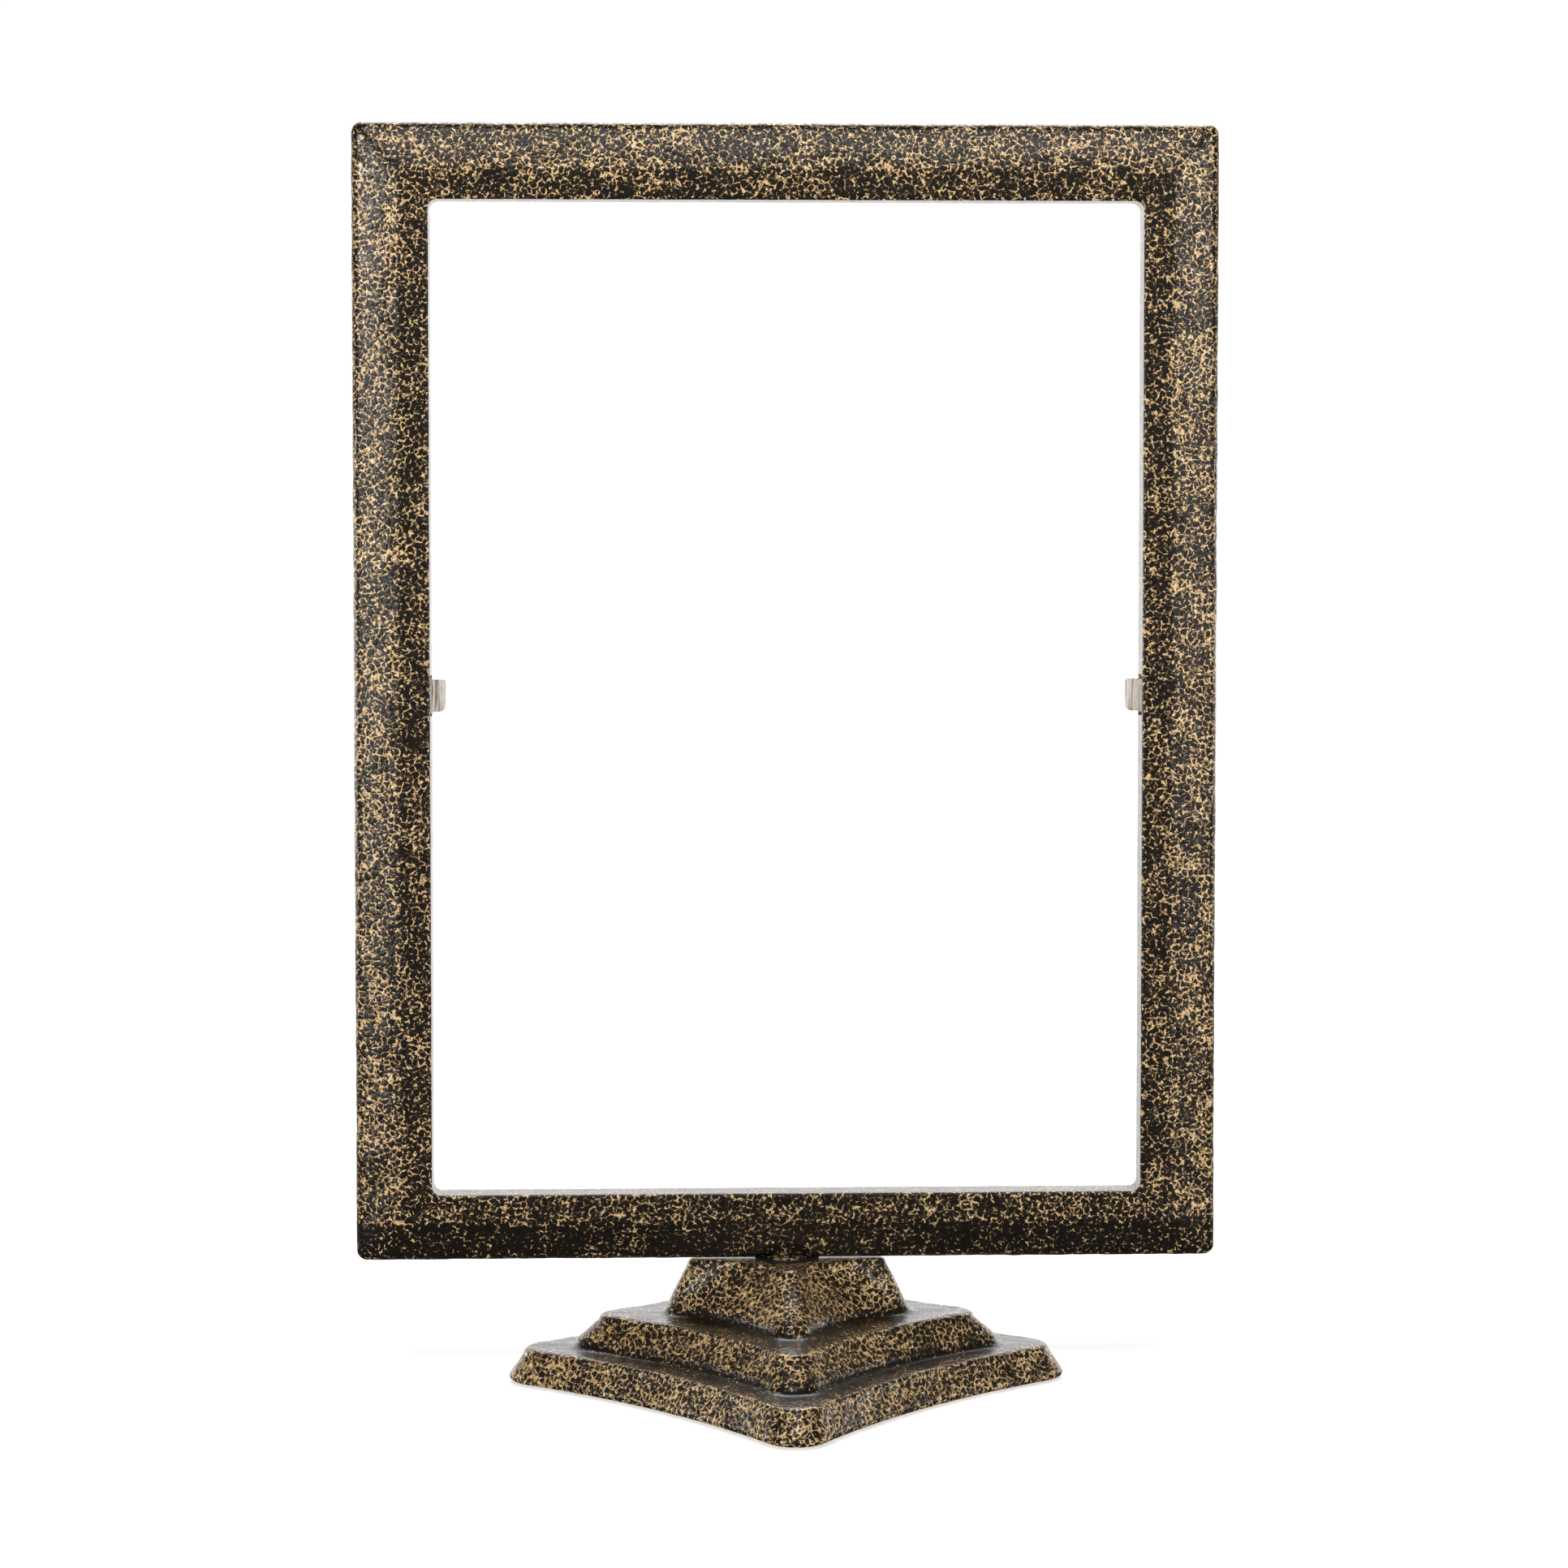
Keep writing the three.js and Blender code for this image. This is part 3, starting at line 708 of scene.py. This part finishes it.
def pedestal_gilding_and_shade(rings):
    """Gold on the tiers' walls, and painted shade where a terrace meets the foot of the next tier: the veins
    narrow to none there.
    """
    heights = np.array([ring[0][2] for ring in rings])
    reach = np.array([np.abs(ring[:, :2]).max() for ring in rings])
    widths = np.full(len(rings), GILDING_AND_SHADE["tier_wall"])
    for tier in TIERS[1:]:
        on_terrace = np.abs(heights - tier["low"]) < 0.01
        outside = smoothstep(reach[on_terrace].min(), reach[on_terrace].max(), reach)
        on_wall = heights > tier["low"] + 0.01
        shaded_share = np.where(on_terrace, 1 - TERRACE_SHADE_FADE * outside, 0)
        shaded_share = shaded_share + np.where(on_wall, 1 - smoothstep(tier["low"], tier["low"] + FOOT_SHADE_REACH, heights), 0)
        widths = widths + (GILDING_AND_SHADE["shaded_tier_foot"] - GILDING_AND_SHADE["tier_wall"]) * shaded_share
    return np.repeat(widths, len(rings[0]))


def build_pedestal():
    rings = pedestal_rings()
    count = len(rings[0])
    faces = [list(face) for face in grid_faces(len(rings), count, False)]
    last = (len(rings) - 1) * count
    faces += [list(range(count)), list(range(last, last + count))]
    body = mesh_object("pedestal_casting_skin", np.concatenate(rings), faces, math.radians(60),
                       pedestal_gilding_and_shade(rings))
    hammer(body, pedestal_ease(points_of(body)))
    top = TIERS[-1]["high"] + 1
    wide, pocket = COUNTERBORE["radius"], PAD_POCKET["radius"]
    cutters = [
        solid_rod("socket", [(SOCKET["radius"], SOCKET["floor"]), (SOCKET["radius"], top)]),
        solid_rod("shank", [(SHANK_HOLE_RADIUS, 0), (SHANK_HOLE_RADIUS, top)], 32),
        solid_rod("counterbore", [(wide, -1), (wide, COUNTERBORE["ceiling"])]),
    ]
    for name in PAD_NAMES:
        low, high = box_mm(name)
        centre = (low + high)[:2] / 2
        cutters.append(solid_rod("pocket", [(pocket, -1), (pocket, PAD_POCKET["ceiling"])], 48, centre))
    for cutter in cutters:
        boolean(body, cutter, "DIFFERENCE")
    place_piece(body, "hammered_coat", "pedestal", "pedestal_casting")


# The clips and the hardware.


def polyline(points, spacing):
    """The same line with its points about spacing apart, and how far along it each one is."""
    points = np.asarray(points, float)
    legs = np.linalg.norm(np.diff(points, axis=0), axis=1)
    along = np.concatenate([[0], np.cumsum(legs)])
    marks = np.linspace(0, along[-1], max(2, round(along[-1] / spacing)) + 1)
    return np.stack([np.interp(marks, along, points[:, i]) for i in range(points.shape[1])], -1), marks


def corner_inset(distance, radius):
    """How far a rounded corner of that radius draws the strip's edge in, this far from its end."""
    left = np.clip(radius - distance, 0, radius)
    return radius - np.sqrt(np.maximum(radius ** 2 - left ** 2, 0))


def clip_spine():
    """The strip's middle line in plan: front leaf, web, rear leaf and its flared lip."""
    middle = CLIP["gap"] / 2 + CLIP["sheet"] / 2
    turn = CLIP["bend"] + CLIP["sheet"] / 2
    back = CLIP["sheet"] / 2
    end = CLIP["rear"] + CLIP["flare"] - CLIP["sheet"] / 4
    corners = [(CLIP["front"], -middle, 0), (back, -middle, turn), (back, middle, turn),
               (CLIP["rear"] - CLIP["sheet"] / 8, middle, 0.3), (end, middle + CLIP["flare"] / 2, 0)]
    return polyline(rounded(corners, 8), 0.06)


def build_clip(node, body, side):
    spine, along = clip_spine()
    direction = np.gradient(spine, axis=0)
    direction /= np.linalg.norm(direction, axis=1, keepdims=True)
    across = np.stack([-direction[:, 1], direction[:, 0]], -1)
    to_front, to_rear = along, along[-1] - along
    front_inset = corner_inset(to_front, CLIP_CORNERS["front"])
    top = CLIP_HEIGHT / 2 - front_inset - corner_inset(to_rear, CLIP_CORNERS["rear_top"])
    bottom = -CLIP_HEIGHT / 2 + front_inset + corner_inset(to_rear, CLIP_CORNERS["rear_bottom"])
    half = CLIP["sheet"] / 2
    rings = []
    for place, normal, low, high in zip(spine, across, bottom, top):
        corners = [(s * half, z, CLIP_EDGE_RADIUS) for s, z in ((-1, low), (1, low), (1, high), (-1, high))]
        outline = rounded(corners, 3)
        rings.append([(place[0] + normal[0] * u, place[1] + normal[1] * u, z) for u, z in outline])
    count = len(rings[0])
    faces = [list(face) for face in grid_faces(len(rings), count, False)]
    last = (len(rings) - 1) * count
    faces += [list(range(count)), list(range(last, last + count))]
    low, high = box_mm(node)
    web = low[0] if side < 0 else high[0]
    middle = (low[2] + high[2]) / 2
    strip = mesh_object(node + "_strip", np.concatenate(rings), faces, math.radians(50))
    hole = solid_rod("hole", [(CLIP_SCREW["radius"] + 0.1, -1), (CLIP_SCREW["radius"] + 0.1, 1.2)], 32)
    turn_points(hole, lambda x, y, z: (z, y, -x))
    boolean(strip, hole, "DIFFERENCE")
    turn_points(strip, lambda x, y, z: (web - side * x, y, middle + z))
    place_piece(strip, "clip_nickel", body, node)


def build_clip_screw(node, clip_node, body, side):
    """A slotted pan-head screw, its head on the clip's web."""
    radius, head = CLIP_SCREW["radius"], CLIP_SCREW["head_radius"]
    tall = CLIP_SCREW["head_height"]
    shank = [(radius * 0.4, -CLIP_SCREW["length"]), (radius, 0.6 - CLIP_SCREW["length"])]
    outline = shank + [(radius, 0.0), (head - 0.08, 0.0), (head, 0.1)]
    turns = np.linspace(0.15, 1.35, 8)
    dome = [(head * math.cos(turn), 0.1 + (tall - 0.1) * math.sin(turn)) for turn in turns]
    screw = solid_rod(node + "_turned", outline + dome, 40)
    half_slot = CLIP_SCREW["slot_width"] / 2
    slot_floor = tall - CLIP_SCREW["slot_depth"]
    slot = block("driver", (-head - 1, -half_slot, slot_floor), (head + 1, half_slot, tall + 1))
    boolean(screw, slot, "DIFFERENCE")
    low, high = box_mm(clip_node)
    web = (low[0] if side < 0 else high[0]) - side * CLIP["sheet"]
    middle = (low[2] + high[2]) / 2
    turn_points(screw, lambda x, y, z: (web - side * z, y, middle + side * x))
    place_piece(screw, "clip_nickel", body, node)


def build_pivot_screw():
    """A socket-head cap screw, knurled round its head and threaded along its shank."""
    low, high = box_mm("pivot_screw")
    under_head = low[2] + PIVOT_SCREW["head_height"]
    head, radius = PIVOT_SCREW["head_radius"], PIVOT_SCREW["radius"]
    outline = [(head - 0.35, low[2]), (head - 0.1, low[2] + 0.1), (head, low[2] + 0.35)]
    outline += [(head, z) for z in np.linspace(low[2] + 0.5, under_head - 0.3, 6)]
    outline += [(head - 0.05, under_head), (radius, under_head)]
    outline += [(radius, z) for z in np.arange(under_head + 0.2, high[2] - 0.5, 0.1)]
    outline += [(radius - 0.4, high[2])]

    def knurl_and_thread(angles, ring_radius, z):
        if abs(ring_radius - head) < 0.01:
            return 1 - 0.012 * (1 - np.cos(angles * 36))
        if abs(ring_radius - radius) < 0.01 and z > under_head + 4:
            turn = (z / 0.5 - angles / (2 * math.pi)) % 1
            return 1 - 0.16 * np.abs(2 * turn - 1)
        return 1.0

    screw = solid_rod("pivot_screw_turned", outline, 144, bend=knurl_and_thread)
    across = PIVOT_SCREW["socket_across"] / math.sqrt(3)
    hexagon = solid_rod("hexagon", [(across, low[2] - 1), (across, low[2] + PIVOT_SCREW["socket_depth"])], 6)
    boolean(screw, hexagon, "DIFFERENCE")
    place_piece(screw, "zinc_steel", "frame", "pivot_screw")


def build_ring(node, slot, body, inner, edge, thickness=None, waves=0):
    """A washer with turned edges. One thinner than its box is pressed into waves that fill the box."""
    low, high = box_mm(node)
    outer = (high[0] - low[0]) / 2
    thick = thickness or high[2] - low[2]
    middle = (low[2] + high[2]) / 2
    lift = (high[2] - low[2] - thick) / 2
    outline = rounded([(inner, middle - thick / 2, edge), (outer, middle - thick / 2, edge),
                       (outer, middle + thick / 2, edge), (inner, middle + thick / 2, edge)], 3)

    def pressed(angles, radius, z):
        return 1.0, lift * np.cos(angles * waves)

    washer = turned(node + "_ring", outline, 120, bend=pressed)
    place_piece(washer, slot, body, node)


def build_pad(node):
    """A moulded foot: rounded rim, a shallow groove and a dished middle on its underside."""
    low, high = box_mm(node)
    centre = (low + high)[:2] / 2
    radius = (high[0] - low[0]) / 2
    outline = [(0.05, low[2] + 0.25), (radius * 0.35, low[2] + 0.22), (radius * 0.45, low[2]),
               (radius * 0.62, low[2]), (radius * 0.66, low[2] + 0.2), (radius * 0.74, low[2] + 0.2),
               (radius * 0.78, low[2]), (radius * 0.9, low[2]), (radius * 0.97, low[2] + 0.1),
               (radius, low[2] + 0.35), (radius, high[2] - 0.15), (radius - 0.15, high[2])]
    pad = solid_rod(node + "_moulding", outline, 72, centre)
    place_piece(pad, "pad_rubber", "pedestal", node)


PAD_NAMES = [piece["node"] for piece in frame["record"]["subparts"] if piece["node"].endswith("_foot_pad")]
CLIP_HEIGHT = float(np.subtract(*reversed(box_mm("left_spring_clip")))[2])
FRAME_BOTTOM = float(box_mm("friction_washer")[1][2]) + 0.02

build_frame()
build_pedestal()
for clip_side, label in ((-1, "left"), (1, "right")):
    build_clip(label + "_spring_clip", "frame", clip_side)
    build_clip_screw(label + "_clip_screw", label + "_spring_clip", "frame", clip_side)
build_pivot_screw()
build_ring("friction_washer", "black_nylon", "pedestal", 3.4, 0.1)
build_ring("wave_washer", "zinc_steel", "pedestal", 1.8, 0.06, 0.25, 3)
build_ring("flat_washer", "zinc_steel", "frame", 1.6, 0.1)
for pad_name in PAD_NAMES:
    build_pad(pad_name)


# The set: a pale floor with a painted glow, a white card behind, soft lights, and the camera.

FLOOR_SIZE = 8.0
CARD = {"distance": 1.7, "width": 3.4, "height": 1.8}


def set_material(name, colour, glow):
    """A pale sheet whose own glow rises from glow[0] under the object to glow[1] half a metre away."""
    def build(tree, shader, place):
        cloudy = noise(tree, place, 0.004, 2.0)
        shade = blend_colours(tree, cloudy, tuple(c * 0.985 for c in colour) + (1,), colour + (1,))
        tree.links.new(shade, shader.inputs["Base Color"])
        shader.inputs["Roughness"].default_value = 0.9
        shader.inputs["Specular IOR Level"].default_value = 0.1
        shader.inputs["Emission Color"].default_value = (1, 1, 1, 1)
        away = add_node(tree, "ShaderNodeVectorMath", {0: place}, operation="LENGTH").outputs["Value"]
        tree.links.new(ramp(tree, away, 60.0, 500.0, *glow), shader.inputs["Emission Strength"])
    return material(name, build)


def stage_sheet(name, corners, finish):
    mesh = bpy.data.meshes.new(name)
    mesh.from_pydata(corners, [], [tuple(range(len(corners)))])
    obj = bpy.data.objects.new(name, mesh)
    bpy.context.scene.collection.objects.link(obj)
    mesh.materials.append(finish)
    return obj


def build_set():
    half = FLOOR_SIZE / 2
    ground = [(-half, -half, 0), (half, -half, 0), (half, half, 0), (-half, half, 0)]
    # Painted light: the floor glows, less under the object than half a metre away, so it is darker round the
    # object.
    floor = stage_sheet("floor", ground, set_material("glowing_pale_floor", (0.86, 0.86, 0.86), (0.6, 1.0)))
    floor.visible_glossy = False
    wide, far = CARD["width"] / 2, CARD["distance"]
    wall = [(-wide, far, -0.4), (wide, far, -0.4), (wide, far, CARD["height"]), (-wide, far, CARD["height"])]
    card = stage_sheet("white_card", wall, set_material("white_card", (0.9, 0.9, 0.9), (0.55, 0.55)))
    card.visible_diffuse = False
    card.visible_camera = False


def build_world():
    """White to the camera; a dim grey room to everything else."""
    world = bpy.data.worlds.new("room")
    world.use_nodes = True
    tree = world.node_tree
    tree.nodes.clear()
    rays = add_node(tree, "ShaderNodeLightPath").outputs["Is Camera Ray"]
    room = add_node(tree, "ShaderNodeBackground", {"Color": (0.5, 0.48, 0.46, 1), "Strength": 0.08})
    white = add_node(tree, "ShaderNodeBackground", {"Color": (1, 1, 1, 1), "Strength": 1.05})
    mix = add_node(tree, "ShaderNodeMixShader", {0: rays, 1: room.outputs[0], 2: white.outputs[0]})
    output = add_node(tree, "ShaderNodeOutputWorld")
    tree.links.new(mix.outputs[0], output.inputs[0])
    bpy.context.scene.world = world


# Each light: where it is, what it points at, its width and height, how bright its face is, and what it does:
# "fill" lights the colours without showing in the gloss, "sheen" only shows in the gloss, "both" does both.
SOFTBOXES = {
    "fill_left": ((-0.85, -0.85, 0.34), (0, 0, 0.11), (0.42, 0.44), 4.1, "fill"),
    "fill_right": ((0.85, -0.85, 0.34), (0, 0, 0.11), (0.40, 0.42), 3.2, "fill"),
    "fill_top": ((0.0, -0.75, 0.95), (0, 0, 0.11), (0.80, 0.36), 7.6, "fill"),
    "sheen_left": ((-0.71, -1.09, 0.20), (0, 0, 0.13), (0.34, 0.60), 1.7, "sheen"),
    "sheen_right": ((0.71, -1.09, 0.20), (0, 0, 0.13), (0.34, 0.60), 0.9, "sheen"),
    "sheen_top": ((0.0, -1.02, 0.86), (0, 0, 0.16), (0.90, 0.32), 1.6, "sheen"),
    "glint_left": ((-0.66, -1.0, 0.42), (0, 0, 0.13), (0.07, 0.07), 30.0, "sheen"),
    "glint_right": ((0.66, -1.0, 0.42), (0, 0, 0.13), (0.07, 0.07), 22.0, "sheen"),
    "overhead": ((0.0, 0.35, 0.72), (0, 0, 0.2), (0.6, 0.4), 3.0, "both"),
    "left_strip": ((-0.9, 0.30, 0.09), (0, 0.05, 0.09), (1.1, 0.16), 2.2, "both"),
    "right_strip": ((0.9, 0.30, 0.09), (0, 0.05, 0.09), (1.1, 0.16), 1.4, "both"),
}


def build_lights():
    for name, (place, aim, size, brightness, job) in SOFTBOXES.items():
        light = bpy.data.lights.new(name, "AREA")
        light.shape = "RECTANGLE"
        light.size, light.size_y = size
        light.energy = brightness * math.pi * size[0] * size[1]
        obj = bpy.data.objects.new(name, light)
        bpy.context.scene.collection.objects.link(obj)
        obj.location = place
        obj.rotation_euler = (Vector(aim) - Vector(place)).to_track_quat("-Z", "Y").to_euler()
        obj.visible_glossy = job != "fill"
        obj.visible_diffuse = job != "sheen"


# The camera stands a little left of the middle, above the middle of the frame, and looks slightly down.
CAMERA = {
    "distance": 0.6405, "height": 0.1564, "azimuth": -2.03, "pitch": -2.5, "lens": 81.63,
    "drop": 0.07, "aside": -0.0018,
}


def build_camera():
    scene = bpy.context.scene
    camera = bpy.data.objects.new("camera", bpy.data.cameras.new("camera"))
    scene.collection.objects.link(camera)
    turn = math.radians(CAMERA["azimuth"])
    away = CAMERA["distance"]
    camera.location = (away * math.sin(turn), -away * math.cos(turn), CAMERA["height"])
    camera.rotation_euler = (math.radians(90 + CAMERA["pitch"]), 0, turn)
    camera.data.lens = CAMERA["lens"]
    camera.data.sensor_width = 36.0
    camera.data.shift_x = CAMERA["aside"]
    camera.data.shift_y = -CAMERA["drop"]
    camera.data.clip_start = 0.05
    camera.data.clip_end = 50.0
    scene.camera = camera
    scene.view_settings.view_transform = "Standard"


build_set()
build_world()
build_lights()
build_camera()
